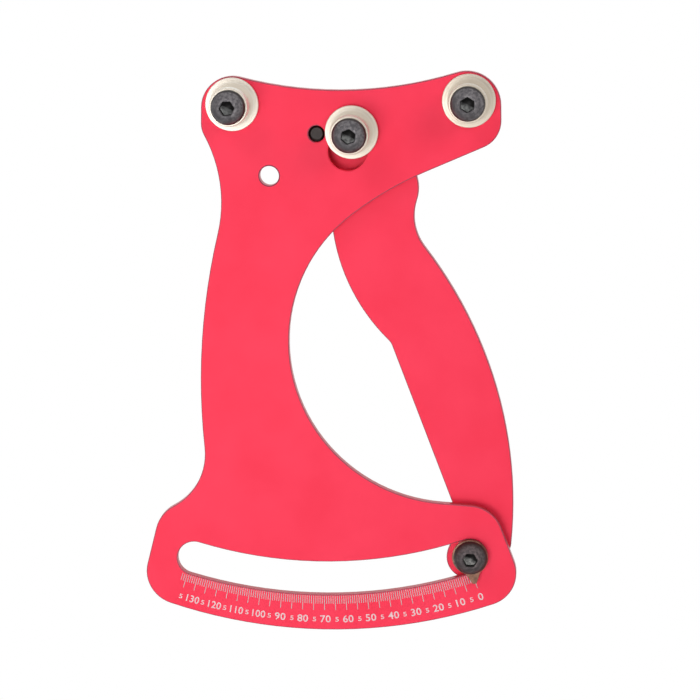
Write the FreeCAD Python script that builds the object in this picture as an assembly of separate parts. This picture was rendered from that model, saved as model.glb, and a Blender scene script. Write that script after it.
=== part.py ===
import FreeCAD, Part
import math
import os

# Spoke tension meter, millimetres. Modelled about its pivot axis: X to the right,
# Z up, Y to the back, with the body plate's front face at Y = 0. The finished
# pieces are moved so that the origin is the middle of the hang hole.

Vector = FreeCAD.Vector

# Plates
plate_thick = 3.0
arm_thick = 3.0
arm_gap = 1.0
edge_break = 0.3

# Posts, measured from the pivot; angles are to the right of straight down
left_post_x = -25.6
left_post_z = 8.8
right_post_x = 46.1
right_post_z = 10.5
middle_post_radius = 10.8
middle_post_angle = 94.0
hang_hole_x = -14.5
hang_hole_z = -12.95
hang_hole_radius = 3.0

# Pointer, slot and scale
pointer_radius = 140.0
zero_angle = 20.05
full_angle = -16.28
slot_width = 10.8
scale_margin = 11.42

# Body plate outline
band_corner_radius = 10.7
band_edge_shift = 1.05
band_left_overhang = 1.5
band_right_overhang = 0.18
band_shoulder_shift = -0.8
band_shoulder_height = 13.7
band_shoulder_radius = 10.9
bay_left_x = -8.7
bay_floor_rise = 0.4
bay_head_gap = 14.0
underside_radius = 105.0
underside_angle = -51.9
right_chin_x = 1.2
right_chin_z = -6.2
right_chin_inset = 1.8
right_horn_shift = -0.7
right_horn_rise = -1.6
right_horn_radius = 10.4
top_dip_radius = 121.0
left_horn_rise = -1.2
left_horn_radius = 9.6
left_chin_x = -2.6
left_chin_z = -6.1
left_chin_radius = 7.1
waist_radius = 42.7
grip_x = -36.3
grip_z = -79.1
grip_radius = 204.0
flare_radius = 19.7
flare_corner_shift = -0.8
flare_corner_height = 12.4
flare_corner_radius = 11.3
kidney_width = 11.8
kidney_top_angle = 97.0
kidney_low_angle = 60.8

# Swing arm outline
toe_shift = -0.8
toe_drop = 1.7
toe_radius = 6.9
heel_angle = -4.9
heel_radius = 7.4
arm_back_reach = 13.0
arm_back_rise = 14.5
arm_back_radius = 134.0
arm_neck_radius = 15.7
arm_shoulder_x = 18.5
arm_shoulder_z = -16.9
arm_shoulder_radius = 12.4
arm_lobe_radius = 8.5
hole_relief_radius = 8.0
palm_x = 63.1
palm_z = -21.9
palm_radius = 59.1
notch_drop = 45.4
notch_radius = 4.2
ankle_radius = 10.6
ankle_angle = 141.2
ankle_gap = 0.7

# Six millimetre screws, nuts and washers
screw_dia = 6.0
screw_end_break = 0.6
screw_tail = 0.8
head_dia = 10.5
head_height = 3.3
head_rim_height = 0.7
head_top_dia = 5.6
socket_flats = 4.0
socket_depth = 2.1
socket_point_depth = 0.7
nut_wall = 2.0
nut_height = 6.0
nut_hex_height = 4.4
nut_collar_wall = 0.63
nut_collar_round = 0.6
insert_height = 1.1
insert_wall = 0.9
insert_lip = 0.3
washer_dia = 11.0
washer_thick = 1.6
screw_hole_clearance = 0.2
thread_clearance = 0.05
fit_clearance = 0.02

# Post spools
spool_dia = 16.2
spool_rim_height = 1.3
spool_rim_break = 0.25
spool_cone_height = 2.9
spool_groove_dia = 8.8
spool_groove_radius = 1.25
spool_collar_dia = 11.0
spool_collar_height = 6.3
spool_height = 9.9
spool_collar_break = 0.4
spool_float = 0.4
sleeve_dia = 10.0

# Pointer
pointer_thick = 1.0
pointer_dia = 11.7
pointer_reach = 8.6
pointer_lean = 10.5
pointer_tip_width = 1.1
pointer_base_width = 4.7
pointer_float = 1.0
stop_clearance = 0.1

# Pivot: shouldered five millimetre screw from the back, bush and spring
shoulder_dia = 6.0
shoulder_clearance = 0.05
pivot_thread_dia = 5.0
pivot_thread_break = 0.7
pivot_end_depth = 0.7
pivot_head_dia = 9.5
pivot_head_height = 2.75
pivot_head_rim_height = 0.6
pivot_head_top_dia = 4.8
pivot_socket_flats = 3.0
pivot_socket_depth = 1.6
bush_dia = 8.0
bush_sleeve_gap = 0.2
axial_float = 0.05
pivot_washer_dia = 9.2
pivot_washer_thick = 0.5

# Return spring
spring_wire_dia = 1.4
spring_coil_dia = 7.9
spring_pitch = 2.3
spring_turns = 2
spring_quarters = 4 * spring_turns
leg_clearance = 0.02
left_leg_overhang = 4.0
right_leg_overhang = 6.0

cut_overrun = 1.0
touch_tolerance = 0.002

# Levels along Y and places in the plane of the plates
slot_half = slot_width / 2
outer_radius = pointer_radius + slot_half + scale_margin
kidney_half = kidney_width / 2
arm_front = plate_thick + arm_gap
arm_rear = arm_front + arm_thick
screw_radius = screw_dia / 2
screw_hole_radius = screw_radius + screw_hole_clearance
thread_bore_radius = screw_radius + thread_clearance
sleeve_radius = sleeve_dia / 2
nut_flats = screw_dia + 2 * nut_wall
nut_pocket_radius = thread_bore_radius + insert_wall + fit_clearance
nut_collar_radius = nut_pocket_radius + nut_collar_wall
bush_flange_radius = middle_post_radius - sleeve_radius - bush_sleeve_gap
shoulder_bore_radius = shoulder_dia / 2 + shoulder_clearance
seat_washer_front = arm_rear + axial_float
coil_front = seat_washer_front + pivot_washer_thick + axial_float
spring_rise = (spring_quarters - 1) * spring_pitch / 4
coil_start = coil_front + spring_wire_dia / 2
coil_end = coil_start + spring_rise
rear_washer_front = coil_end + spring_wire_dia / 2 + axial_float
pivot_head_front = rear_washer_front + pivot_washer_thick + axial_float
end_slack = math.degrees((slot_half - sleeve_radius - stop_clearance) / pointer_radius)


def polar_down(radius, angle):
    # A place at an angle to the right of straight down from the pivot.
    turn = math.radians(angle)
    return radius * math.sin(turn), -radius * math.cos(turn)


def polar(centre, radius, angle):
    turn = math.radians(angle)
    return centre[0] + radius * math.cos(turn), centre[1] + radius * math.sin(turn)


left_post = (left_post_x, left_post_z)
right_post = (right_post_x, right_post_z)
middle_post = polar_down(middle_post_radius, middle_post_angle)
pointer_post = polar_down(pointer_radius, zero_angle)
hang_hole = (hang_hole_x, hang_hole_z)


def tangent_heading(start, end):
    # Heading of the straight run from one circle (x, z, radius) to the next.
    # A negative radius marks a hollow bend, whose centre is outside the plate.
    run_x = end[0] - start[0]
    run_z = end[1] - start[1]
    ratio = (start[2] - end[2]) / math.hypot(run_x, run_z)
    return math.atan2(run_z, run_x) + math.asin(max(-1, min(1, ratio)))


def on_circle(circle, heading):
    x, z, radius = circle
    return Vector(x + radius * math.sin(heading), 0, z - radius * math.cos(heading))


def touching(start, end, radius):
    # The hollow bend that touches two round corners, its centre to the right of
    # the way from the first to the second.
    first = start[2] + radius
    second = end[2] + radius
    run_x = end[0] - start[0]
    run_z = end[1] - start[1]
    apart = math.hypot(run_x, run_z)
    along = (apart ** 2 + first ** 2 - second ** 2) / (2 * apart)
    aside = math.sqrt(max(0, first ** 2 - along ** 2))
    x = start[0] + (run_x * along + run_z * aside) / apart
    z = start[1] + (run_z * along - run_x * aside) / apart
    return x, z, -radius


def with_hollows(corners):
    # Fills in each bare radius with the hollow bend between its two neighbours.
    circles = []
    for i, corner in enumerate(corners):
        if not isinstance(corner, tuple):
            corner = touching(corners[i - 1], corners[(i + 1) % len(corners)], corner)
        circles.append(corner)
    return circles


def belt_outline(corners):
    # A closed outline that runs round the corners like a belt, anticlockwise.
    circles = with_hollows(corners)
    onward = circles[1:] + circles[:1]
    headings = [tangent_heading(a, b) for a, b in zip(circles, onward)]
    runs = []
    for circle, following, heading in zip(circles, onward, headings):
        leave = on_circle(circle, heading)
        arrive = on_circle(following, heading)
        if leave.distanceToPoint(arrive) < touch_tolerance:
            arrive = leave
        runs.append((leave, arrive))
    edges = []
    for i, circle in enumerate(circles):
        turn = (headings[i] - headings[i - 1]) % (2 * math.pi)
        if circle[2] < 0:
            turn -= 2 * math.pi
        middle = on_circle(circle, headings[i - 1] + turn / 2)
        leave, arrive = runs[i]
        edges.append(Part.Arc(runs[i - 1][1], middle, leave).toShape())
        if arrive is not leave:
            edges.append(Part.LineSegment(leave, arrive).toShape())
    return Part.Wire(edges)


def slab(wire, front, thick):
    solid = Part.Face(wire).extrude(Vector(0, thick, 0))
    solid.translate(Vector(0, front, 0))
    return solid


def disc(place, radius, front, length):
    return Part.makeCylinder(radius, length, Vector(place[0], front, place[1]), Vector(0, 1, 0))


def ring(place, outer_dia, inner_radius, front, length):
    hole = disc(place, inner_radius, front - cut_overrun, length + 2 * cut_overrun)
    return disc(place, outer_dia / 2, front, length).cut(hole)


def hole_through(place, radius, front, length):
    return disc(place, radius, front - cut_overrun, length + 2 * cut_overrun)


def arc_slot(radius, half_width, low_angle, high_angle, front, length):
    # A slot with round ends, curved about the pivot. Angles from straight down.
    edges = []
    middle = (low_angle + high_angle) / 2
    for side in (-1, 1):
        r = radius + side * half_width
        places = [polar_down(r, angle) for angle in (low_angle, middle, high_angle)]
        points = [Vector(x, 0, z) for x, z in places]
        edges.append(Part.Arc(*points).toShape())
    for angle, side in ((low_angle, -1), (high_angle, 1)):
        inner = Vector(polar_down(radius - half_width, angle)[0], 0,
                       polar_down(radius - half_width, angle)[1])
        outer = Vector(polar_down(radius + half_width, angle)[0], 0,
                       polar_down(radius + half_width, angle)[1])
        beyond = angle + side * 90
        centre = polar_down(radius, angle)
        reach = polar_down(half_width, beyond)
        tip = Vector(centre[0] + reach[0], 0, centre[1] + reach[1])
        edges.append(Part.Arc(inner, tip, outer).toShape())
    wire = Part.Wire(Part.__sortEdges__(edges))
    return slab(wire, front - cut_overrun, length + 2 * cut_overrun)


def hexagon(place, flats, front, length, heading):
    # A six-sided bar with a corner along the heading, so two flats lie beside it.
    corner = flats / 2 / math.cos(math.pi / 6)
    points = []
    for k in range(7):
        angle = heading + math.radians(60 * k)
        points.append(Vector(place[0] + corner * math.cos(angle), front,
                             place[1] + corner * math.sin(angle)))
    return Part.Face(Part.makePolygon(points)).extrude(Vector(0, length, 0))


def turned(place, edges):
    # A profile drawn as (radius, y) in the X-Y plane, spun about the Y axis.
    profile = Part.Face(Part.Wire(edges))
    solid = profile.revolve(Vector(0, 0, 0), Vector(0, 1, 0), 360)
    solid.translate(Vector(place[0], 0, place[1]))
    return solid


def profile_edges(points):
    # Straight edges through (radius, y) points, or an arc where a point is
    # given as a pair: the arc's middle, then its end.
    edges = []
    last = Vector(points[0][0], points[0][1], 0)
    for item in points[1:] + points[:1]:
        if isinstance(item[0], tuple):
            middle = Vector(item[0][0], item[0][1], 0)
            end = Vector(item[1][0], item[1][1], 0)
            edges.append(Part.Arc(last, middle, end).toShape())
        else:
            end = Vector(item[0], item[1], 0)
            edges.append(Part.LineSegment(last, end).toShape())
        last = end
    return edges


def broken_edges(solid, front, thick):
    # A small bevel on every edge that lies in the plate's two faces.
    chosen = []
    for edge in solid.Edges:
        box = edge.BoundBox
        flat = box.YLength < touch_tolerance
        outer = min(abs(box.YMin - front), abs(box.YMin - front - thick)) < touch_tolerance
        if flat and outer:
            chosen.append(edge)
    return solid.makeChamfer(edge_break, chosen)


def body_outline():
    corner_polar = outer_radius - band_corner_radius
    right_corner = polar_down(corner_polar, zero_angle + band_right_overhang)
    left_corner = polar_down(corner_polar, full_angle - band_left_overhang)
    slot_end = polar_down(pointer_radius, full_angle)
    shoulder_z = -pointer_radius + band_shoulder_height
    floor_z = shoulder_z + band_shoulder_radius + bay_floor_rise
    bay_radius = (-bay_head_gap - floor_z) / 2
    bay = (bay_left_x + bay_radius, floor_z + bay_radius)
    underside = polar(bay, underside_radius - bay_radius, underside_angle)
    return belt_outline([
        (band_edge_shift, 0, outer_radius),
        (right_corner[0] + band_edge_shift, right_corner[1], band_corner_radius),
        (pointer_post[0] + band_shoulder_shift, shoulder_z, band_shoulder_radius),
        (bay[0], bay[1], -bay_radius),
        (underside[0], underside[1], -underside_radius),
        (right_post_x + right_chin_x, right_post_z + right_chin_z,
         right_horn_radius - right_chin_inset),
        (right_post_x + right_horn_shift, right_post_z + right_horn_rise, right_horn_radius),
        top_dip_radius,
        (left_post_x, left_post_z + left_horn_rise, left_horn_radius),
        (left_post_x + left_chin_x, left_post_z + left_chin_z, left_chin_radius),
        waist_radius,
        (grip_x + grip_radius, grip_z, grip_radius),
        flare_radius,
        (slot_end[0] + flare_corner_shift, -pointer_radius + flare_corner_height,
         flare_corner_radius),
        (left_corner[0] + band_edge_shift, left_corner[1], band_corner_radius),
    ])


def body_plate():
    plate = slab(body_outline(), 0, plate_thick)
    cuts = [
        arc_slot(pointer_radius, slot_half, full_angle + end_slack, zero_angle - end_slack,
                 0, plate_thick),
        arc_slot(middle_post_radius, kidney_half, kidney_low_angle, kidney_top_angle,
                 0, plate_thick),
        hole_through(left_post, screw_hole_radius, 0, plate_thick),
        hole_through(right_post, screw_hole_radius, 0, plate_thick),
        hole_through((0, 0), pivot_thread_dia / 2 + thread_clearance, 0, plate_thick),
    ]
    plate = broken_edges(plate.cut(cuts), 0, plate_thick)
    return plate.cut(hole_through(hang_hole, hang_hole_radius, 0, plate_thick))


def arm_outline():
    toe = (pointer_post[0] + toe_shift, pointer_post[1] - toe_drop)
    back = (pointer_post[0] + arm_back_reach - arm_back_radius,
            pointer_post[1] + arm_back_rise)
    heel = polar(back, arm_back_radius - heel_radius, heel_angle)
    notch_reach = math.sqrt((palm_radius + notch_radius) ** 2 - notch_drop ** 2)
    notch = (palm_x - notch_reach, palm_z - notch_drop)
    ankle = polar(toe, toe_radius + ankle_radius + ankle_gap, ankle_angle)
    return belt_outline([
        (toe[0], toe[1], toe_radius),
        (heel[0], heel[1], heel_radius),
        (back[0], back[1], arm_back_radius),
        arm_neck_radius,
        (arm_shoulder_x, arm_shoulder_z, arm_shoulder_radius),
        (middle_post[0], middle_post[1], arm_lobe_radius),
        (0, 0, arm_lobe_radius),
        hole_relief_radius,
        (palm_x, palm_z, palm_radius),
        (notch[0], notch[1], -notch_radius),
        (ankle[0], ankle[1], -ankle_radius),
    ])


def swing_arm():
    arm = slab(arm_outline(), arm_front, arm_thick)
    cuts = [
        hole_through((0, 0), bush_dia / 2 + fit_clearance, arm_front, arm_thick),
        hole_through(middle_post, screw_hole_radius, arm_front, arm_thick),
        hole_through(pointer_post, screw_hole_radius, arm_front, arm_thick),
    ]
    return broken_edges(arm.cut(cuts), arm_front, arm_thick)


def button_screw(place, seat, end, size, heading):
    # A round-headed socket screw whose head sits in front of the seat.
    shank, head, rim_height, height, top, flats, depth = size
    rim = seat - rim_height
    crown = seat - height
    dome_middle = ((head + top) / 4 + (rim - crown) / 4, (rim + 2 * crown) / 3)
    shape = turned(place, profile_edges([
        (0, crown), (top / 2, crown), (dome_middle, (head / 2, rim)), (head / 2, seat),
        (shank / 2, seat), (shank / 2, end - screw_end_break),
        (shank / 2 - screw_end_break, end), (0, end),
    ]))
    socket = hexagon(place, flats, crown - cut_overrun, depth + cut_overrun, heading)
    point = Part.makeCone(flats / 2, 0, socket_point_depth,
                          Vector(place[0], crown + depth, place[1]), Vector(0, 1, 0))
    return shape.cut([socket, point])


def post_screw(place, seat, end, heading):
    size = (screw_dia, head_dia, head_rim_height, head_height, head_top_dia,
            socket_flats, socket_depth)
    return button_screw(place, seat, end, size, heading)


def spool(place, rear):
    # Turned post: wide flange against the plate, sloping face, groove for the
    # spoke, then a collar up to the screw head.
    rim = spool_dia / 2
    collar = spool_collar_dia / 2
    groove = spool_groove_dia / 2
    bore = screw_hole_radius
    front = rear - spool_height
    groove_y = rear - (spool_cone_height + spool_collar_height) / 2
    half_groove = (spool_collar_height - spool_cone_height) / 2
    reach = half_groove - spool_groove_radius / 2
    return turned(place, profile_edges([
        (bore, rear), (rim - spool_rim_break, rear), (rim, rear - spool_rim_break),
        (rim, rear - spool_rim_height), (collar, rear - spool_cone_height),
        (groove + spool_groove_radius / 4, groove_y + reach),
        ((groove, groove_y), (groove + spool_groove_radius / 4, groove_y - reach)),
        (collar, rear - spool_collar_height), (collar, front + spool_collar_break),
        (collar - spool_collar_break, front), (bore, front),
    ]))


def lock_nut(place, front, heading):
    # A six-sided nut with a round collar that holds a plastic ring.
    corner = nut_flats / math.cos(math.pi / 6)
    rear = front + nut_height
    hex_rear = front + nut_hex_height
    bevel = (corner - nut_flats) / 2
    bar = hexagon(place, nut_flats, front, nut_hex_height, heading)
    cone = turned(place, profile_edges([
        (0, front), (corner / 2 - bevel / 2, front), (corner / 2, front + bevel / 2),
        (corner / 2, hex_rear - bevel / 2), (corner / 2 - bevel / 2, hex_rear), (0, hex_rear),
    ]))
    collar = nut_collar_radius
    cap = turned(place, profile_edges([
        (0, hex_rear - fit_clearance), (collar, hex_rear - fit_clearance),
        (collar, rear - nut_collar_round), (collar - nut_collar_round, rear), (0, rear),
    ]))
    nut = bar.common(cone).fuse(cap)
    bore = hole_through(place, thread_bore_radius, front, nut_height)
    pocket = disc(place, nut_pocket_radius, rear - insert_height - insert_lip,
                  insert_height + fit_clearance)
    mouth = disc(place, thread_bore_radius + insert_wall / 2, rear - insert_lip, cut_overrun)
    return nut.cut([bore, pocket, mouth])


def nut_insert(place, front):
    rear = front + nut_height
    return ring(place, 2 * (thread_bore_radius + insert_wall), thread_bore_radius,
                rear - insert_height - insert_lip + fit_clearance,
                insert_height - fit_clearance)


def washer(place, front):
    return ring(place, washer_dia, screw_hole_radius, front, washer_thick)


def sleeve(place, front):
    return ring(place, sleeve_dia, screw_hole_radius, front, arm_front - front)


def pointer():
    # Brass plate under the screw head: a round disc with a tip that reads the scale.
    front = -pointer_float - pointer_thick
    down = math.radians(zero_angle - pointer_lean)
    out = Vector(math.sin(down), 0, -math.cos(down))
    side = Vector(math.cos(down), 0, math.sin(down))
    centre = Vector(pointer_post[0], front, pointer_post[1])
    base = math.sqrt((pointer_dia / 2) ** 2 - (pointer_base_width / 2) ** 2)
    tip = out * pointer_reach
    root = out * base
    points = [
        centre + root - side * (pointer_base_width / 2),
        centre + tip - side * (pointer_tip_width / 2),
        centre + tip + side * (pointer_tip_width / 2),
        centre + root + side * (pointer_base_width / 2),
    ]
    blade = Part.Face(Part.makePolygon([centre] + points + [centre]))
    blade = blade.extrude(Vector(0, pointer_thick, 0))
    plate = disc(pointer_post, pointer_dia / 2, front, pointer_thick).fuse(blade)
    return plate.cut(hole_through(pointer_post, screw_hole_radius, front, pointer_thick))


def pivot_screw():
    # Head at the back, plain shoulder that the bush turns on, thread in the body plate.
    head = pivot_head_dia / 2
    shoulder = shoulder_dia / 2
    thread = pivot_thread_dia / 2
    rim = pivot_head_front + pivot_head_rim_height
    crown = pivot_head_front + pivot_head_height
    top = pivot_head_top_dia / 2
    dome_middle = ((head + top) / 2 + (crown - rim) / 4, (rim + 2 * crown) / 3)
    shape = turned((0, 0), profile_edges([
        (0, pivot_end_depth), (thread - pivot_thread_break, pivot_end_depth),
        (thread, pivot_end_depth + pivot_thread_break), (thread, plate_thick),
        (shoulder, plate_thick), (shoulder, pivot_head_front), (head, pivot_head_front),
        (head, rim), (dome_middle, (top, crown)), (0, crown),
    ]))
    socket = hexagon((0, 0), pivot_socket_flats, crown - pivot_socket_depth,
                     pivot_socket_depth + cut_overrun, 0)
    return shape.cut(socket)


def pivot_bush():
    # Plain bush pressed into the arm; its flange keeps the arm off the body plate.
    flange_front = plate_thick + axial_float
    bore = shoulder_bore_radius
    tube = bush_dia / 2
    return turned((0, 0), profile_edges([
        (bore, flange_front), (bush_flange_radius, flange_front), (bush_flange_radius, arm_front),
        (tube, arm_front), (tube, arm_rear), (bore, arm_rear),
    ]))


def pivot_washer(front):
    return ring((0, 0), pivot_washer_dia, shoulder_bore_radius, front, pivot_washer_thick)


def leg_radius():
    # How far a leg's middle line runs from the middle of the nut it pushes on.
    return (nut_flats + spring_wire_dia) / 2 + leg_clearance


def left_leg_heading():
    return tangent_heading((left_post[0], left_post[1], leg_radius()),
                           (0, 0, spring_coil_dia / 2))


def right_leg_heading():
    return tangent_heading((0, 0, spring_coil_dia / 2),
                           (middle_post[0], middle_post[1], leg_radius()))


def bend_middle(start, corner, end):
    # Middle of the arc that leaves start towards corner and ends at end.
    half_chord = start.distanceToPoint(end) / 2
    centre = (start + end) * (1 / 2)
    rise = corner - centre
    slope = math.atan2(rise.Length, half_chord)
    return centre + rise.normalize() * (half_chord * math.tan(slope / 2))


def two_arcs(start, start_way, end, end_way):
    # Two arcs that join two places and keep the direction at both.
    run = end - start
    both = start_way + end_way
    apart = 2 * (1 - start_way.dot(end_way))
    along = run.dot(both)
    leg = (math.sqrt(along * along + apart * run.dot(run)) - along) / apart
    first_corner = start + start_way * leg
    last_corner = end - end_way * leg
    middle = (first_corner + last_corner) * (1 / 2)
    return [
        Part.Arc(start, bend_middle(start, first_corner, middle), middle).toShape(),
        Part.Arc(middle, bend_middle(middle, last_corner, end), end).toShape(),
    ]


def coil_knots():
    # Places and directions a quarter turn apart, level at both ends.
    heading_start = left_leg_heading()
    heading_end = right_leg_heading() + 2 * math.pi * spring_turns
    step = (heading_end - heading_start) / spring_quarters
    radius = spring_coil_dia / 2
    rise = spring_pitch / 4
    y = coil_start
    knots = []
    for k in range(spring_quarters + 1):
        heading = heading_start + k * step
        level = k in (0, spring_quarters)
        slope = 0 if level else rise / (radius * step)
        way = Vector(math.cos(heading), slope, math.sin(heading)).normalize()
        place = on_circle((0, 0, radius), heading)
        place.y = y
        knots.append((place, way))
        y += rise / 2 if k in (0, spring_quarters - 1) else rise
    return knots


def spring_path():
    knots = coil_knots()
    left_run = left_post[0] * math.cos(left_leg_heading()) + left_post[1] * math.sin(
        left_leg_heading())
    right_run = middle_post[0] * math.cos(right_leg_heading()) + middle_post[1] * math.sin(
        right_leg_heading())
    tip = knots[0][0] + knots[0][1] * (left_run - left_leg_overhang)
    toe = knots[-1][0] + knots[-1][1] * (right_run + right_leg_overhang)
    edges = [Part.LineSegment(tip, knots[0][0]).toShape()]
    for (start, start_way), (end, end_way) in zip(knots, knots[1:]):
        edges += two_arcs(start, start_way, end, end_way)
    edges.append(Part.LineSegment(knots[-1][0], toe).toShape())
    return Part.Wire(edges)


def return_spring():
    path = spring_path()
    start = path.Edges[0]
    way = start.tangentAt(start.FirstParameter)
    circle = Part.Circle(start.valueAt(start.FirstParameter), way, spring_wire_dia / 2)
    return path.makePipeShell([Part.Wire(circle.toShape())], True, False)


def report_spring_gap():
    # Least gap between one turn of the wire and the next, on points along it.
    points = []
    for edge in spring_path().Edges:
        points += edge.discretize(24)[:-1]
    lengths = [0]
    for a, b in zip(points, points[1:]):
        lengths.append(lengths[-1] + a.distanceToPoint(b))
    skip = math.pi * spring_coil_dia / 2
    least = min(points[i].distanceToPoint(points[j])
                for i in range(len(points)) for j in range(i + 1, len(points))
                if lengths[j] - lengths[i] > skip)
    print("least gap of the spring to itself, mm:", round(least - spring_wire_dia, 3))


def body_pieces():
    nut_front = plate_thick + washer_thick
    screw_end = nut_front + nut_height + screw_tail
    pieces = {"body_plate": body_plate()}
    posts = {"left": left_post, "right": right_post}
    turns = {"left": left_leg_heading(), "right": 0}
    for side, place in posts.items():
        socket_turn = 0 if side == "left" else math.pi / 6
        pieces[side + "_post_spool"] = spool(place, 0)
        pieces[side + "_post_screw"] = post_screw(place, -spool_height, screw_end, socket_turn)
        pieces[side + "_post_washer"] = washer(place, plate_thick)
        pieces[side + "_post_nut"] = lock_nut(place, nut_front, turns[side])
    pieces["post_nut_inserts"] = Part.makeCompound(
        [nut_insert(place, nut_front) for place in posts.values()])
    pieces["pivot_screw"] = pivot_screw()
    pieces["spring_seat_washer"] = pivot_washer(seat_washer_front)
    pieces["spring_retaining_washer"] = pivot_washer(rear_washer_front)
    pieces["return_spring"] = return_spring()
    return pieces


def arm_pieces():
    nut_front = arm_rear + washer_thick
    screw_end = nut_front + nut_height + screw_tail
    spool_rear = -spool_float
    pointer_front = -pointer_float - pointer_thick
    return {
        "swing_arm": swing_arm(),
        "pivot_bush": pivot_bush(),
        "middle_post_spool": spool(middle_post, spool_rear),
        "middle_post_sleeve": sleeve(middle_post, spool_rear),
        "middle_post_screw": post_screw(middle_post, spool_rear - spool_height, screw_end,
                                        math.pi / 6),
        "middle_post_washer": washer(middle_post, arm_rear),
        "middle_post_nut": lock_nut(middle_post, nut_front, right_leg_heading()),
        "pointer": pointer(),
        "pointer_sleeve": sleeve(pointer_post, -pointer_float),
        "pointer_screw": post_screw(pointer_post, pointer_front, screw_end, 0),
        "pointer_washer": washer(pointer_post, arm_rear),
        "pointer_nut": lock_nut(pointer_post, nut_front, math.radians(zero_angle)),
        "arm_nut_inserts": Part.makeCompound(
            [nut_insert(place, nut_front) for place in (middle_post, pointer_post)]),
    }


def main():
    os.makedirs("parts", exist_ok=True)
    to_origin = Vector(-hang_hole_x, -plate_thick / 2, -hang_hole_z)
    report_spring_gap()
    pieces = body_pieces()
    pieces.update(arm_pieces())
    for name, shape in pieces.items():
        shape.translate(to_origin)
        shape.exportStep(os.path.join("parts", name + ".step"))
        print(name, "solids", len(shape.Solids), "volume", round(shape.Volume, 1),
              "valid", shape.isValid())


main()
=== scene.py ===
import math
import bmesh
import bpy
from mathutils import Matrix, Vector


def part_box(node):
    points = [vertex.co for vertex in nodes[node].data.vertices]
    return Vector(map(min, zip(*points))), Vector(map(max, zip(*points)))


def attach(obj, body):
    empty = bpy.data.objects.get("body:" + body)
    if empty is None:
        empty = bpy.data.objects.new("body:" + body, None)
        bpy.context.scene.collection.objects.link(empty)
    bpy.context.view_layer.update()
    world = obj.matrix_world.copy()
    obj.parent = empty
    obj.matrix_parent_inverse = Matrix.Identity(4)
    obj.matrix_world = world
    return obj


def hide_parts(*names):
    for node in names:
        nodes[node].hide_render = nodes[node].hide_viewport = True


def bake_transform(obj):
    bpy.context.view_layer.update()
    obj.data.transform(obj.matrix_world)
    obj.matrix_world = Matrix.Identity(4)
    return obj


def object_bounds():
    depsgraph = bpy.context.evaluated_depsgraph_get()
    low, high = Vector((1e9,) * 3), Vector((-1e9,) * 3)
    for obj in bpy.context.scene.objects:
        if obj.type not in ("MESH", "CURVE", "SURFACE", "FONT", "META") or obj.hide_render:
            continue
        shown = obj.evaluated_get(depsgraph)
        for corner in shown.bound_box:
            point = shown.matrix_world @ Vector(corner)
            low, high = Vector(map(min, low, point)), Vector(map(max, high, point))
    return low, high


# Spoke tension meter, in the part's own frame: X right, Z up, Y from the front to the back.
# Sizes below are millimetres unless a name says otherwise, and mm turns them into metres.

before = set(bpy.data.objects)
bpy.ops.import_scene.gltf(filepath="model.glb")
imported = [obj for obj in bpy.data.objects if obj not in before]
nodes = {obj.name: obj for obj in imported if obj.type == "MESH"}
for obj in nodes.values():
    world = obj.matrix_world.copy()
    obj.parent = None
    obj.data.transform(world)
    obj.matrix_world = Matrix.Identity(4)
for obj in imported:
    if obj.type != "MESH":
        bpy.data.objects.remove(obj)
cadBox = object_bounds()
mm = 0.001
alongY = Matrix.Rotation(math.pi / 2, 4, "X")  # turns a flat circle to face the Y axis
print("frame loaded:", len(nodes), "nodes")


def centreOf(node):
    lo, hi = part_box(node)
    return (lo + hi) / 2


pivotAt = centreOf("pivot_screw")
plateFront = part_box("body_plate")[0].y
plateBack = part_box("body_plate")[1].y
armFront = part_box("swing_arm")[0].y
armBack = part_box("swing_arm")[1].y
halfSwing = Matrix.Rotation(math.radians(18), 4, "Y")
# Middle of the kidney-shaped hole: the middle post's place at rest, turned by half the arm's swing
holeMiddle = pivotAt + halfSwing @ (centreOf("middle_post_screw") - pivotAt)


# Shader helpers
def addNode(tree, kind, inputs=None, **settings):
    item = tree.nodes.new(kind)
    for key, value in settings.items():
        setattr(item, key, value)
    for key, value in (inputs or {}).items():
        if isinstance(value, bpy.types.NodeSocket):
            tree.links.new(value, item.inputs[key])
        else:
            item.inputs[key].default_value = value
    return item


def mathNode(tree, operation, a, b=0.0):
    return addNode(tree, "ShaderNodeMath", {0: a, 1: b}, operation=operation).outputs[0]


def rangeNode(tree, value, fromMin, fromMax, toMin, toMax):
    inputs = {"Value": value, "From Min": fromMin, "From Max": fromMax, "To Min": toMin, "To Max": toMax}
    return addNode(tree, "ShaderNodeMapRange", inputs).outputs["Result"]


def mixColour(tree, mask, first, second):
    return addNode(tree, "ShaderNodeMix", {0: mask, 6: first, 7: second}, data_type="RGBA").outputs[2]


def tintColour(tree, share, colour, tint):
    inputs = {0: share, 6: colour, 7: tint}
    return addNode(tree, "ShaderNodeMix", inputs, data_type="RGBA", blend_type="MULTIPLY").outputs[2]


def stepBetween(tree, value, low, high):
    above = mathNode(tree, "GREATER_THAN", value, low)
    return mathNode(tree, "MULTIPLY", above, mathNode(tree, "LESS_THAN", value, high))


def newGroup(name, inputs, outputs):
    group = bpy.data.node_groups.new(name, "ShaderNodeTree")
    for label, kind, value in inputs:
        socket = group.interface.new_socket(name=label, in_out="INPUT", socket_type=kind)
        if value is not None:
            socket.default_value = value
    for label, kind in outputs:
        group.interface.new_socket(name=label, in_out="OUTPUT", socket_type=kind)
    entry = group.nodes.new("NodeGroupInput")
    leave = group.nodes.new("NodeGroupOutput")
    return group, entry.outputs, leave.inputs


def useGroup(tree, group, inputs):
    item = tree.nodes.new("ShaderNodeGroup")
    item.node_tree = group
    for key, value in inputs.items():
        if isinstance(value, bpy.types.NodeSocket):
            tree.links.new(value, item.inputs[key])
        else:
            item.inputs[key].default_value = value
    return item.outputs


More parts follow.
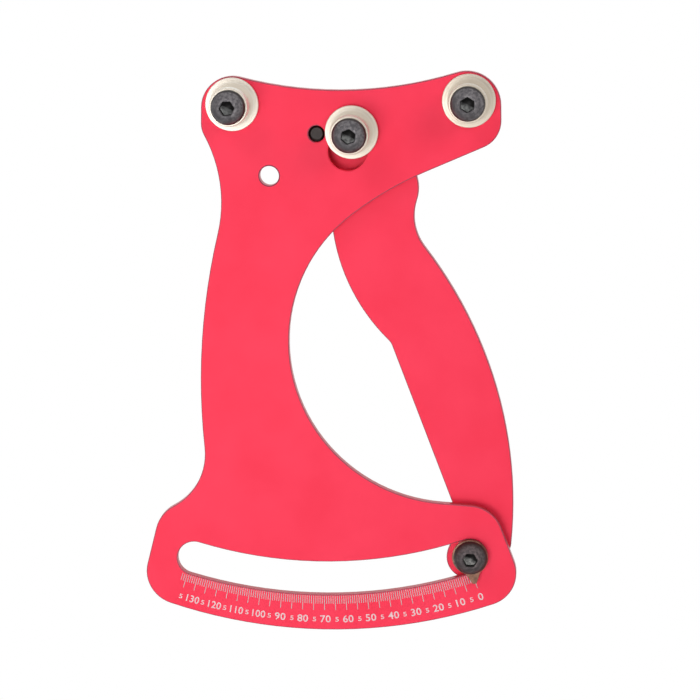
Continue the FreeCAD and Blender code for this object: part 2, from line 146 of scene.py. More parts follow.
def buildGrainGroup():
    # Fine grain plus a slow drift, for blasted, plated and oxidised metal.
    inputs = [("Vector", "NodeSocketVector", None), ("Grain Size", "NodeSocketFloat", 0.15),
              ("Patch Size", "NodeSocketFloat", 12.0)]
    outputs = [("Grain", "NodeSocketFloat"), ("Patches", "NodeSocketFloat")]
    group, given, result = newGroup("surfaceGrain", inputs, outputs)
    for label, size, detail in (("Grain", "Grain Size", 2.0), ("Patches", "Patch Size", 3.0)):
        perMetre = mathNode(group, "DIVIDE", 1 / mm, given[size])
        noiseInputs = {"Vector": given["Vector"], "Scale": perMetre, "Detail": detail}
        noise = addNode(group, "ShaderNodeTexNoise", noiseInputs)
        group.links.new(noise.outputs["Fac"], result[label])
    return group


def buildLatheGroup():
    # Tool rings on turned metal. Lathe holds distance from the axis and place along it, in mm.
    inputs = [("Lathe", "NodeSocketVector", None), ("Ring Width", "NodeSocketFloat", 0.12),
              ("Band Width", "NodeSocketFloat", 1.1)]
    outputs = [("Rings", "NodeSocketFloat"), ("Bands", "NodeSocketFloat")]
    group, given, result = newGroup("latheRings", inputs, outputs)
    flat = addNode(group, "ShaderNodeVectorMath", {0: given["Lathe"], 1: (1, 1, 0)}, operation="MULTIPLY")
    for label, size in (("Rings", "Ring Width"), ("Bands", "Band Width")):
        perStep = mathNode(group, "DIVIDE", 1.0, given[size])
        noiseInputs = {"Vector": flat.outputs["Vector"], "Scale": perStep, "Detail": 1.0}
        noise = addNode(group, "ShaderNodeTexNoise", noiseInputs)
        group.links.new(noise.outputs["Fac"], result[label])
    return group


def buildPlateEdgeGroup():
    # Masks for a sheet that lies across Y with its middle at zero: its cut walls and its bevels.
    faceSlack = 0.012  # how far below the face still counts as face
    inputs = [("Vector", "NodeSocketVector", None), ("Half Thickness", "NodeSocketFloat", 1.5),
              ("Bevel", "NodeSocketFloat", 0.3)]
    outputs = [("Wall", "NodeSocketFloat"), ("Bevel Line", "NodeSocketFloat")]
    group, given, result = newGroup("plateEdges", inputs, outputs)
    place = addNode(group, "ShaderNodeSeparateXYZ", {"Vector": given["Vector"]})
    depth = mathNode(group, "MULTIPLY", mathNode(group, "ABSOLUTE", place.outputs["Y"]), 1 / mm)
    inward = mathNode(group, "SUBTRACT", given["Half Thickness"], depth)
    notFace = mathNode(group, "GREATER_THAN", inward, faceSlack)
    wall = mathNode(group, "GREATER_THAN", inward, given["Bevel"])
    bevelLine = mathNode(group, "SUBTRACT", notFace, wall)
    group.links.new(wall, result["Wall"])
    group.links.new(bevelLine, result["Bevel Line"])
    return group


grainGroup = buildGrainGroup()
latheGroup = buildLatheGroup()
plateEdgeGroup = buildPlateEdgeGroup()

# The part of a noise's output that colours and roughness are spread over
patchSpan = (0.35, 0.68)
grainSpan = (0.3, 0.7)
# How far grain takes a material's roughness down and up, as shares of it
roughLow = 0.8
roughHigh = 1.2


def newMaterial(name, roughness=0.4, metallic=0.0, specular=0.5):
    material = bpy.data.materials.new(name)
    material.use_nodes = True
    tree = material.node_tree
    shader = tree.nodes["Principled BSDF"]
    shader.inputs["Roughness"].default_value = roughness
    shader.inputs["Metallic"].default_value = metallic
    shader.inputs["Specular IOR Level"].default_value = specular
    return material, tree, shader


def objectPlace(tree, location=(0, 0, 0)):
    coords = addNode(tree, "ShaderNodeTexCoord")
    inputs = {"Vector": coords.outputs["Object"], "Location": location}
    return addNode(tree, "ShaderNodeMapping", inputs).outputs["Vector"]


def bumpFrom(tree, height, distance):
    inputs = {"Height": height, "Distance": distance * mm, "Strength": 1.0}
    return addNode(tree, "ShaderNodeBump", inputs).outputs["Normal"]


# Materials. On the plates, hole stands for the kidney-shaped hole and hang for the hang hole, and their
# reach is a radius round their middles.
plateLook = {
    "face": (0.957, 0.0425, 0.0955, 1), "faceDeep": (0.92, 0.032, 0.078, 1),
    # Painted shade: the cut walls and the bevel lines along them are darker than the face.
    "wall": (0.43, 0.032, 0.047, 1), "bevelLine": (0.47, 0.07, 0.11, 1),
    # Painted light: round the kidney-shaped hole the bevel lines and cut walls are bright red, as if evenly
    # lit.
    "holeLitLine": (0.90, 0.03, 0.07, 1), "holeLitWall": (0.80, 0.01, 0.03, 1), "holeReach": 11.0,
    # Painted shade: a dark line round the hang hole's edge.
    "hangShadeLine": (0.26, 0.03, 0.06, 1), "hangReach": 3.35,
    "roughness": 0.5, "roughSpread": 0.05, "metallic": 0.1, "specular": 0.2, "halfThick": 1.5, "bevel": 0.3,
    "wallCoat": 0.5, "coatRoughness": 0.18, "flatten": 0.8,
    "grain": 0.16, "patch": 22.0, "speckShare": 0.25, "grainHeight": 0.01,
}


def flattened(tree, mask, share):
    # The broken edges of a sheet shade almost as its faces do, so their line is even all round.
    normal = addNode(tree, "ShaderNodeTexCoord").outputs["Normal"]
    side = mathNode(tree, "SIGN", addNode(tree, "ShaderNodeSeparateXYZ", {"Vector": normal}).outputs["Y"])
    faceWay = addNode(tree, "ShaderNodeCombineXYZ", {"Y": side}).outputs["Vector"]
    amount = mathNode(tree, "MULTIPLY", mask, share)
    mixed = addNode(tree, "ShaderNodeMix", {0: amount, 4: normal, 5: faceWay}, data_type="VECTOR").outputs[1]
    turned = addNode(tree, "ShaderNodeVectorTransform", {"Vector": mixed}, vector_type="NORMAL",
                     convert_from="OBJECT", convert_to="WORLD")
    return turned.outputs["Vector"]


def nearPoint(tree, place, point, radius):
    # One inside a cylinder along Y, nought outside it; point and radius are in metres.
    flat = addNode(tree, "ShaderNodeVectorMath", {0: place, 1: (1, 0, 1)}, operation="MULTIPLY")
    inputs = {0: flat.outputs["Vector"], 1: (point.x, 0, point.z)}
    away = addNode(tree, "ShaderNodeVectorMath", inputs, operation="DISTANCE").outputs["Value"]
    return mathNode(tree, "LESS_THAN", away, radius)


def plateMaterial(name, middleY):
    look = plateLook
    material, tree, shader = newMaterial(name, look["roughness"], look["metallic"], look["specular"])
    place = objectPlace(tree, (0, -middleY, 0))
    grain = useGroup(tree, grainGroup,
                     {"Vector": place, "Grain Size": look["grain"], "Patch Size": look["patch"]})
    edges = useGroup(tree, plateEdgeGroup,
                     {"Vector": place, "Half Thickness": look["halfThick"], "Bevel": look["bevel"]})
    patches = rangeNode(tree, grain["Patches"], *patchSpan, 0.0, 1.0)
    colour = mixColour(tree, patches, look["face"], look["faceDeep"])
    speck = rangeNode(tree, grain["Grain"], *grainSpan, 0.0, look["speckShare"])
    colour = mixColour(tree, speck, colour, look["faceDeep"])
    # The hang hole's middle is the origin, and its sharp edge gets a painted shade line all round.
    hangEdge = nearPoint(tree, place, Vector((0, 0, 0)), look["hangReach"] * mm)
    colour = mixColour(tree, hangEdge, colour, look["hangShadeLine"])
    # Round the kidney-shaped hole the cut walls and bevel lines are painted bright red, as if evenly lit.
    inHole = nearPoint(tree, place, holeMiddle, look["holeReach"] * mm)
    wallColour = mixColour(tree, inHole, look["wall"], look["holeLitWall"])
    # Painted shade on the cut walls and on the bevel lines along them.
    colour = mixColour(tree, edges["Wall"], colour, wallColour)
    bevelColour = mixColour(tree, inHole, look["bevelLine"], look["holeLitLine"])
    colour = mixColour(tree, edges["Bevel Line"], colour, bevelColour)
    tree.links.new(colour, shader.inputs["Base Color"])
    smoothest = look["roughness"] - look["roughSpread"]
    roughest = look["roughness"] + look["roughSpread"]
    rough = rangeNode(tree, grain["Grain"], *grainSpan, smoothest, roughest)
    tree.links.new(rough, shader.inputs["Roughness"])
    openWall = mathNode(tree, "GREATER_THAN", mathNode(tree, "SUBTRACT", edges["Wall"], inHole), 0.5)
    coat = mathNode(tree, "MULTIPLY", openWall, look["wallCoat"])
    tree.links.new(coat, shader.inputs["Coat Weight"])
    shader.inputs["Coat Roughness"].default_value = look["coatRoughness"]
    bump = bumpFrom(tree, grain["Grain"], look["grainHeight"])
    tree.links.new(flattened(tree, edges["Bevel Line"], look["flatten"]), bump.node.inputs["Normal"])
    tree.links.new(bump, shader.inputs["Normal"])
    return material


# Turned metal and plastic: sizes in mm, and how far rings and patches reach into the colour
turnedLook = {"bandWidth": 1.1, "grain": 0.25, "patch": 5.0, "grooveSpan": (0.42, 0.6), "grooveShare": 0.6,
              "patchShare": 0.5, "wearAndShadeSpan": (0.45, 1.1)}


def turnedMaterial(name, colour, shade, roughness, ringBump, metallic=1.0, ringWidth=0.12, paintedZones=()):
    # Painted zones: inner and outer radius, and the reach along the axis, in mm, of rings painted with a
    # colour of their light or shade.
    look = turnedLook
    material, tree, shader = newMaterial(name, roughness, metallic)
    lathe = addNode(tree, "ShaderNodeAttribute", attribute_name="lathe").outputs["Vector"]
    inputs = {"Lathe": lathe, "Ring Width": ringWidth, "Band Width": look["bandWidth"]}
    rings = useGroup(tree, latheGroup, inputs)
    inputs = {"Vector": objectPlace(tree), "Grain Size": look["grain"], "Patch Size": look["patch"]}
    grain = useGroup(tree, grainGroup, inputs)
    bands = rangeNode(tree, rings["Bands"], *grainSpan, 0.0, 1.0)
    grooves = rangeNode(tree, rings["Rings"], *look["grooveSpan"], 0.0, look["grooveShare"])
    tone = mixColour(tree, mathNode(tree, "MAXIMUM", bands, grooves), colour, shade)
    place = addNode(tree, "ShaderNodeSeparateXYZ", {"Vector": lathe}).outputs
    along = mathNode(tree, "ABSOLUTE", place["Y"])
    for inner, outer, low, high, paintedZoneColour in paintedZones:
        across = stepBetween(tree, place["X"], inner, outer)
        paintedZone = mathNode(tree, "MULTIPLY", across, stepBetween(tree, along, low, high))
        tone = mixColour(tree, paintedZone, tone, paintedZoneColour)
    tree.links.new(tone, shader.inputs["Base Color"])
    patches = mathNode(tree, "MULTIPLY", grain["Patches"], look["patchShare"])
    wearAndShade = mathNode(tree, "ADD", rings["Rings"], patches)
    rough = rangeNode(tree, wearAndShade, *look["wearAndShadeSpan"], roughness * roughLow, roughness * roughHigh)
    tree.links.new(rough, shader.inputs["Roughness"])
    tree.links.new(bumpFrom(tree, rings["Rings"], ringBump), shader.inputs["Normal"])
    return material


def fadeAcross(material, low, high, tint):
    # Painted light falloff: the left post is painted brighter than the right one, and a darker tint grows
    # from low to high X.
    tree = material.node_tree
    colour = tree.nodes["Principled BSDF"].inputs["Base Color"]
    coords = addNode(tree, "ShaderNodeTexCoord")
    across = addNode(tree, "ShaderNodeSeparateXYZ", {"Vector": coords.outputs["Object"]}).outputs["X"]
    share = rangeNode(tree, across, low * mm, high * mm, 0.0, 1.0)
    tree.links.new(tintColour(tree, share, colour.links[0].from_socket, tint), colour)


def grainyMaterial(name, colour, shade, roughness, metallic=1.0, grainSize=0.2, patchSize=3.0, bump=0.008):
    material, tree, shader = newMaterial(name, roughness, metallic)
    inputs = {"Vector": objectPlace(tree), "Grain Size": grainSize, "Patch Size": patchSize}
    grain = useGroup(tree, grainGroup, inputs)
    patches = rangeNode(tree, grain["Patches"], *patchSpan, 0.0, 1.0)
    tree.links.new(mixColour(tree, patches, colour, shade), shader.inputs["Base Color"])
    rough = rangeNode(tree, grain["Grain"], *grainSpan, roughness * roughLow, roughness * roughHigh)
    tree.links.new(rough, shader.inputs["Roughness"])
    tree.links.new(bumpFrom(tree, grain["Grain"], bump), shader.inputs["Normal"])
    return material


# Black oxide. Spans are in mm along the lathe attribute, or parts of a noise's output.
# Among these colours are painted shade and light: black in the socket, a light grey socket floor as if lit,
# dark brown on the head's rim and the pivot screw's tip, and a lighter painted highlight on the head's upper
# side.
oxideLook = {
    "dark": (0.048, 0.043, 0.046, 1), "light": (0.135, 0.125, 0.13, 1), "litHighlight": (0.255, 0.236, 0.245, 1),
    "speck": (0.07, 0.065, 0.072, 1), "socketShade": (0.005, 0.004, 0.004, 1), "rim": (0.024, 0.017, 0.015, 1),
    "roughness": 0.45, "roughSpan": (0.38, 0.56), "metallic": 0.35, "specular": 0.4, "grainHeight": 0.02,
    "grain": 0.75, "patch": 1.6, "speckSpan": (0.4, 0.62), "speckShare": 0.8,
    "litHighlightSpan": (-2.5, 4.5), "litHighlightShare": 0.75, "rimEnd": 0.3,
    "wearAndShadeSpan": (-1.2, 0.05), "spotSpan": (0.42, 0.6), "spotShare": 0.6,
    "cornerSlack": 0.02, "depthSlack": 0.06, "pastFloor": 3.0,
}
# floor is the socket floor's colour, painted light grey as if lit; tint colours the whole head; rimWidth is
# how far in the head's rim is painted dark as shade.
cleanOxide = {"tint": (1, 1, 1, 1), "rimWidth": 0.6, "floor": (0.50, 0.51, 0.50, 1)}
brownOxide = {"tint": (0.66, 0.55, 0.54, 1), "rimWidth": 1.2, "floor": (0.60, 0.60, 0.57, 1)}


def screwMaterial(name, size, finish):
    # Lathe gives distance from the axis, depth below the crown and lean to the upper right. The socket's
    # walls are painted black as shade, its floor is painted light grey as if lit with painted black shade on
    # its upper-right side, the head's rim and the pivot screw's tip are painted dark brown as shade, and the
    # head's upper-right side has a painted highlight.
    look = oxideLook
    material, tree, shader = newMaterial(name, look["roughness"], look["metallic"], look["specular"])
    inputs = {"Vector": objectPlace(tree), "Grain Size": look["grain"], "Patch Size": look["patch"]}
    grain = useGroup(tree, grainGroup, inputs)
    lathe = addNode(tree, "ShaderNodeAttribute", attribute_name="lathe").outputs["Vector"]
    place = addNode(tree, "ShaderNodeSeparateXYZ", {"Vector": lathe}).outputs
    reach = place["X"]
    below = mathNode(tree, "ABSOLUTE", place["Y"])
    patches = rangeNode(tree, grain["Patches"], *patchSpan, 0.0, 1.0)
    colour = mixColour(tree, patches, look["dark"], look["light"])
    # Painted highlight: the head's upper-right side is lighter.
    litHighlight = rangeNode(tree, place["Z"], *look["litHighlightSpan"], 0.0, look["litHighlightShare"])
    colour = mixColour(tree, litHighlight, colour, look["litHighlight"])
    speck = rangeNode(tree, grain["Grain"], *look["speckSpan"], 0.0, look["speckShare"])
    colour = mixColour(tree, speck, colour, look["speck"])
    colour = tintColour(tree, 1.0, colour, finish["tint"])
    corner = size["flats"] / 2 / math.cos(math.pi / 6)
    floorFrom = size["depth"] - look["depthSlack"]
    floorTo = size["depth"] + look["pastFloor"]
    inSocket = mathNode(tree, "LESS_THAN", reach, corner + look["cornerSlack"])
    onFloor = mathNode(tree, "MULTIPLY", inSocket, stepBetween(tree, below, floorFrom, floorTo))
    onWall = mathNode(tree, "MULTIPLY", inSocket, stepBetween(tree, below, look["depthSlack"], floorFrom))
    # Painted light and shade in the socket: the floor is light grey as if lit, with black painted shade on
    # its upper-right side, and the walls are black as shade.
    floorSpots = rangeNode(tree, grain["Grain"], *look["spotSpan"], 0.0, look["spotShare"])
    floorLitAndShaded = mixColour(tree, floorSpots, finish["floor"], look["speck"])
    wearAndShade = rangeNode(tree, place["Z"], *look["wearAndShadeSpan"], 0.0, 1.0)
    floorLitAndShaded = mixColour(tree, wearAndShade, floorLitAndShaded, look["socketShade"])
    colour = mixColour(tree, onFloor, colour, floorLitAndShaded)
    colour = mixColour(tree, onWall, colour, look["socketShade"])
    # Painted shade: the head's rim and the pivot screw's tip are dark brown.
    rimFrom = size["head"] - finish["rimWidth"]
    shadedRim = rangeNode(tree, reach, rimFrom, size["head"] - look["rimEnd"], 0.0, 1.0)
    shadedTip = mathNode(tree, "GREATER_THAN", below, size["tipFrom"])
    colour = mixColour(tree, mathNode(tree, "MAXIMUM", shadedRim, shadedTip), colour, look["rim"])
    tree.links.new(colour, shader.inputs["Base Color"])
    rough = rangeNode(tree, grain["Grain"], *grainSpan, *look["roughSpan"])
    tree.links.new(rough, shader.inputs["Roughness"])
    tree.links.new(bumpFrom(tree, grain["Grain"], look["grainHeight"]), shader.inputs["Normal"])
    return material


bodyRed = plateMaterial("bodyRedAnodising", (plateFront + plateBack) / 2)
armRed = plateMaterial("armRedAnodising", (armFront + armBack) / 2)

# Parts of a spool painted with light and shade: painted shade in the groove, a slightly darker painted shade
# on the foot of the flange's face, and a painted highlight on the collar
spoolPaintedLight = (
    (0, 5.35, 2.7, 6.15, (0.22, 0.19, 0.14, 1)),
    (5.35, 6.6, 1.45, 3.0, (0.80, 0.72, 0.61, 1)),
    (5.6, 6.2, 6.15, 9.7, (0.95, 0.92, 0.85, 1)),
)
nickel = turnedMaterial("warmNickelPlate", (0.87, 0.81, 0.725, 1), (0.76, 0.68, 0.57, 1), roughness=0.48,
                        ringBump=0.04, metallic=0.62, ringWidth=0.42, paintedZones=spoolPaintedLight)
fadeAcross(nickel, low=-20, high=50, tint=(0.78, 0.75, 0.71, 1))
zincTurned = turnedMaterial("zincPlateTurned", (0.52, 0.53, 0.54, 1), (0.42, 0.43, 0.45, 1), roughness=0.4,
                            ringBump=0.01)
bronze = turnedMaterial("oiledBronze", (0.50, 0.29, 0.13, 1), (0.36, 0.20, 0.09, 1), roughness=0.42,
                        ringBump=0.01)
acetal = turnedMaterial("turnedAcetal", (0.80, 0.79, 0.75, 1), (0.74, 0.73, 0.69, 1), roughness=0.5,
                        ringBump=0.01, metallic=0.0)
nylon = grainyMaterial("lockRingNylon", (0.62, 0.66, 0.68, 1), (0.52, 0.56, 0.58, 1), roughness=0.45,
                       metallic=0.0)
zinc = grainyMaterial("zincPlate", (0.52, 0.53, 0.54, 1), (0.42, 0.43, 0.45, 1), roughness=0.4)
brass = grainyMaterial("tarnishedBrass", (0.29, 0.14, 0.09, 1), (0.13, 0.065, 0.04, 1), roughness=0.5,
                       metallic=0.5, patchSize=1.4)
springSteel = grainyMaterial("springSteel", (0.36, 0.35, 0.34, 1), (0.24, 0.23, 0.23, 1), roughness=0.3)
tickPrint = grainyMaterial("tickPrint", (0.50, 0.52, 0.53, 1), (0.45, 0.46, 0.47, 1), roughness=0.6,
                           metallic=0.0)
numberPrint = grainyMaterial("numberPrint", (0.84, 0.62, 0.64, 1), (0.80, 0.55, 0.58, 1), roughness=0.6,
                             metallic=0.0)
print("materials ready:", len(bpy.data.materials))


# Mesh helpers
mergeDistance = 0.0005
litSide = math.radians(25)  # the lit side of a head lies this far to the right of straight up


def finishPiece(bm, name, body, material, replaced, smooth=True):
    bmesh.ops.remove_doubles(bm, verts=bm.verts, dist=mergeDistance * mm)
    bmesh.ops.recalc_face_normals(bm, faces=bm.faces)
    mesh = bpy.data.meshes.new(name)
    bm.to_mesh(mesh)
    bm.free()
    piece = bpy.data.objects.new(name, mesh)
    bpy.context.scene.collection.objects.link(piece)
    mesh.materials.append(material)
    if smooth:
        for face in mesh.polygons:
            face.use_smooth = True
        piece.modifiers.new("faceWeights", "WEIGHTED_NORMAL")
    if body:
        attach(piece, body)
    if replaced:
        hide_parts(*replaced)
    return piece


def latheAttribute(piece, centre):
    # Distance from the turning axis, place along it, and place on the line to the lit side, in mm.
    lean = Vector((math.sin(litSide), 0, math.cos(litSide)))
    attribute = piece.data.attributes.new("lathe", "FLOAT_VECTOR", "POINT")
    for vertex, item in zip(piece.data.vertices, attribute.data):
        away = vertex.co - centre
        item.vector = (math.hypot(away.x, away.z) / mm, away.y / mm, away.dot(lean) / mm)
    return piece


def spinProfile(bm, profile, steps, segments=3):
    # profile: (radius, y, corner rounding) in mm, a closed loop that keeps off the axis.
    corners = [bm.verts.new((r * mm, y * mm, 0)) for r, y, rounding in profile]
    for a, b in zip(corners, corners[1:] + corners[:1]):
        bm.edges.new((a, b))
    for corner, (r, y, rounding) in zip(corners, profile):
        if rounding:
            bmesh.ops.bevel(bm, geom=[corner], offset=rounding * mm, offset_type="OFFSET",
                            segments=segments, profile=0.5, affect="VERTICES", material=-1)
    geometry = bm.verts[:] + bm.edges[:]
    bmesh.ops.spin(bm, geom=geometry, cent=(0, 0, 0), axis=(0, 1, 0), dvec=(0, 0, 0),
                   angle=2 * math.pi, steps=steps, use_merge=True)


def turnedPiece(name, body, profile, place, material, steps=96):
    # Replaces the node of the same name; y = 0 of the profile lies at the place.
    bm = bmesh.new()
    spinProfile(bm, profile, steps)
    bmesh.ops.translate(bm, verts=bm.verts, vec=place)
    piece = finishPiece(bm, name + "_turned", body, material, [name])
    return latheAttribute(piece, place)


def placeLoop(verts, kind, size, y, turn):
    # Puts a ring of points on a circle, or on a hexagon whose corners are size from the axis.
    for vert in verts:
        angle = math.atan2(vert.co.z, vert.co.x)
        reach = size * mm
        if kind == "hex":
            past = (angle - turn) % (math.pi / 3) - math.pi / 6
            reach *= math.cos(math.pi / 6) / math.cos(past)
        vert.co = (reach * math.cos(angle), y * mm, reach * math.sin(angle))


def drawOut(bm, edges):
    # Draws a ring of edges out, and gives the new ring's points and edges.
    drawn = bmesh.ops.extrude_edge_only(bm, edges=edges)["geom"]
    verts = {item for item in drawn if isinstance(item, bmesh.types.BMVert)}
    newEdges = [item for item in drawn if isinstance(item, bmesh.types.BMEdge)]
    return verts, [edge for edge in newEdges if verts.issuperset(edge.verts)]


def loftLoops(bm, loops, turn, segments=48):
    # Draws one ring of points out from loop to loop and closes both ends.
    matrix = Matrix.Rotation(-turn, 4, "Y") @ alongY
    ring = bmesh.ops.create_circle(bm, cap_ends=True, segments=segments, radius=mm, matrix=matrix)["verts"]
    placeLoop(ring, *loops[0], turn)
    edges = list({edge for vert in ring for edge in vert.link_edges})
    for loop in loops[1:]:
        ring, edges = drawOut(bm, edges)
        placeLoop(ring, *loop, turn)
    bmesh.ops.edgeloop_fill(bm, edges=edges)


def domePoint(share, rimRadius, topRadius, rimY, topY):
    # From the rim (0) to the flat top (1) of a button head, along a round shoulder.
    angle = share * math.pi / 2
    straight = 0.42  # share of a plain cone in the shoulder's shape
    r = rimRadius + (topRadius - rimRadius) * (straight * share + (1 - straight) * (1 - math.cos(angle)))
    y = rimY + (topY - rimY) * (straight * share + (1 - straight) * math.sin(angle))
    return r, y


# Plates, nuts and their locking rings keep the solids' shapes
dressed = {"body_plate": bodyRed, "swing_arm": armRed, "post_nut_inserts": nylon, "arm_nut_inserts": nylon,
           "left_post_nut": zinc, "right_post_nut": zinc, "middle_post_nut": zinc, "pointer_nut": zinc}
for node, material in dressed.items():
    nodes[node].data.materials.clear()
    nodes[node].data.materials.append(material)
print("plates and nuts dressed")


# Scale
scale = {
    "unitAngle": 0.26644, "zeroAngle": 19.49, "units": 137, "tickStart": 145.7,
    "tickLong": 4.9, "tickShort": 2.8, "tickWidth": 0.2, "thickness": 0.02, "drift": 0.003,
    "numberRadius": 153.47, "zeroHeight": 2.35, "zeroWidth": 1.6, "spacing": 1.05, "strokeWeight": 0.014,
    "curveSteps": 5, "hundredsWiden": 0.9, "fiveRadius": 153.62, "fiveHeight": 1.5, "fiveWiden": 1.2,
    # How many units past its tick a label stands, and how much less with every unit
    "fivePast": 0.89, "fiveLess": 0.0064, "tenPast": 1.0, "tenLess": 0.0098,
    "hundredPast": 0.52, "zeroPast": 0.07,
}


def onScale(radius, units):
    # Matrix whose local X runs along the scale to the right and whose local Z points to the pivot.
    angle = math.radians(scale["zeroAngle"] - units * scale["unitAngle"])
    y = plateFront - scale["thickness"] / 2 * mm
    centre = Matrix.Translation((pivotAt.x, y, pivotAt.z))
    return centre @ Matrix.Rotation(-angle, 4, "Y") @ Matrix.Translation((0, 0, -radius * mm))


def makeTicks():
    bm = bmesh.new()
    for unit in range(scale["units"] + 1):
        length = (scale["tickLong"] if unit % 5 == 0 else scale["tickShort"]) - unit * scale["drift"]
        size = Matrix.Diagonal((scale["tickWidth"] * mm, scale["thickness"] * mm, length * mm, 1))
        matrix = onScale(scale["tickStart"] + length / 2, unit) @ size
        bmesh.ops.create_cube(bm, size=1, matrix=matrix)
    return finishPiece(bm, "scale_ticks", "body", tickPrint, (), smooth=False)


def numberMesh(text):
    curve = bpy.data.curves.new("number", "FONT")
    curve.body = text
    curve.resolution_u = scale["curveSteps"]
    curve.extrude = 0.5
    curve.offset = scale["strokeWeight"]
    curve.space_character = scale["spacing"]
    letters = bpy.data.objects.new("number", curve)
    bpy.context.scene.collection.objects.link(letters)
    bpy.context.view_layer.update()
    mesh = bpy.data.meshes.new_from_object(letters)
    bpy.data.objects.remove(letters)
    bpy.data.curves.remove(curve)
    return mesh


def meshCorners(mesh):
    across = [vertex.co.x for vertex in mesh.vertices]
    upward = [vertex.co.y for vertex in mesh.vertices]
    return Vector((min(across), min(upward), 0)), Vector((max(across), max(upward), 0))


def labelPlace(unit):
    if unit % 10:
        return unit - (scale["fivePast"] - scale["fiveLess"] * unit)
    if 0 < unit < 100:
        return unit - (scale["tenPast"] - scale["tenLess"] * unit)
    return unit - (scale["hundredPast"] if unit else scale["zeroPast"])


def makeNumbers():
    # Every label takes the widening that gives the nought its size, so narrow digits stay narrow.
    noughtMesh = numberMesh("0")
    lo, hi = meshCorners(noughtMesh)
    bpy.data.meshes.remove(noughtMesh)
    perWidth = scale["zeroWidth"] / (hi.x - lo.x)
    perHeight = scale["zeroHeight"] / (hi.y - lo.y)
    bm = bmesh.new()
    for unit in range(0, scale["units"], 5):
        small = unit % 10 == 5
        shrink = scale["fiveHeight"] / scale["zeroHeight"] if small else 1
        widen = scale["fiveWiden"] if small else 1 if unit < 100 else scale["hundredsWiden"]
        radius = (scale["fiveRadius"] if small else scale["numberRadius"]) - unit * scale["drift"]
        mesh = numberMesh("5" if small else str(unit))
        lo, hi = meshCorners(mesh)
        size = (perWidth * shrink * widen * mm, perHeight * shrink * mm, scale["thickness"] * mm, 1)
        flat = Matrix.Diagonal(size) @ Matrix.Translation(-(lo + hi) / 2)
        mesh.transform(onScale(radius, labelPlace(unit)) @ alongY @ flat)
        bm.from_mesh(mesh)
        bpy.data.meshes.remove(mesh)
    return finishPiece(bm, "scale_numbers", "body", numberPrint, (), smooth=False)


makeTicks()
makeNumbers()
print("scale made")


# Spools of the three posts. Depths are below zero towards the front, from the plate they stand on.
# Three numbers are a radius, a depth and the rounding of that corner.
spool = {
    "bore": 3.2, "boreRound": 0.15, "rim": 8.1, "rimThick": 1.3, "rimRound": 0.25,
    "faceEnd": (7.1, -1.34, 0.1), "trumpet": ((6.4, -1.5, 0), (5.8, -1.8, 0), (5.3, -2.3, 0)),
    "lip": (5.1, -2.85, 0.12), "grooveSide": 4.72, "grooveFloor": 4.4, "sideRound": 0.2, "floorRound": 0.5,
    "grooveFrom": -3.75, "grooveMiddle": -4.6, "grooveTo": -5.45,
    "collar": 5.85, "collarFrom": -6.2, "collarBackRound": 0.15, "collarRound": 0.35,
    "frontLand": 4.6, "landRound": 0.03, "frontStep": 0.12, "stepTaper": 0.1, "frontBoreRound": 0.1,
    "steps": 128,
}


def makeSpool(node, body):
    s = spool
    lo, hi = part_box(node)
    front = (lo.y - hi.y) / mm
    step = front + s["frontStep"]
    profile = [(s["bore"], 0, s["boreRound"]), (s["rim"], 0, s["rimRound"]),
               (s["rim"], -s["rimThick"], s["rimRound"]), s["faceEnd"], *s["trumpet"], s["lip"],
               (s["grooveSide"], s["grooveFrom"], s["sideRound"]),
               (s["grooveFloor"], s["grooveMiddle"], s["floorRound"]),
               (s["grooveSide"], s["grooveTo"], s["sideRound"]),
               (s["collar"], s["collarFrom"], s["collarBackRound"]), (s["collar"], front, s["collarRound"]),
               (s["frontLand"], front, s["landRound"]), (s["frontLand"] - s["stepTaper"], step, 0),
               (s["bore"], step, s["frontBoreRound"])]
    place = Vector(((lo.x + hi.x) / 2, hi.y, (lo.z + hi.z) / 2))
    return turnedPiece(node, body, profile, place, nickel, s["steps"])


for node, body in (("left_post_spool", "body"), ("right_post_spool", "body"), ("middle_post_spool", "arm")):
    makeSpool(node, body)
print("spools turned")


# Screws. tipFrom: depth below the crown past which the tip is painted dark brown as shade; set past the
# screw's end, the tip stays black.
postScrew = {
    "head": 5.25, "rimHeight": 0.7, "headHeight": 3.3, "top": 2.8, "flats": 4.0, "depth": 2.3, "drill": 1.75,
    "pointDepth": 0.7, "socketLead": 0.16, "domeSteps": 9, "shank": 3.0, "neck": 0.2, "shankEase": 0.02,
    "pitch": 1.0, "rootDepth": 0.31, "ridgeDepth": 0.35, "threadLength": 5.0, "runOut": 0.4, "threadEnd": 0.5,
    "endBreak": 0.15, "endRise": 0.12, "tipFrom": 99.0,
}
pivotScrew = {
    "head": 4.75, "rimHeight": 0.6, "headHeight": 2.75, "top": 2.4, "flats": 3.0, "depth": 1.6, "drill": 1.3,
    "pointDepth": 0.5, "socketLead": 0.12, "domeSteps": 9, "shank": 3.0, "neck": 0.1, "shoulderBreak": 0.05,
    "thread": 2.5, "pitch": 0.8, "rootDepth": 0.25, "ridgeDepth": 0.3, "threadStart": 0.5, "tipBreak": 0.7,
    "tipRound": (0.05, 0.06), "tipInset": 0.02, "tipFrom": 11.0,
}
blackOxide = screwMaterial("blackOxide", postScrew, cleanOxide)
blackOxideBrown = screwMaterial("blackOxideBrown", postScrew, brownOxide)
blackOxideSmall = screwMaterial("blackOxideSmall", pivotScrew, cleanOxide)


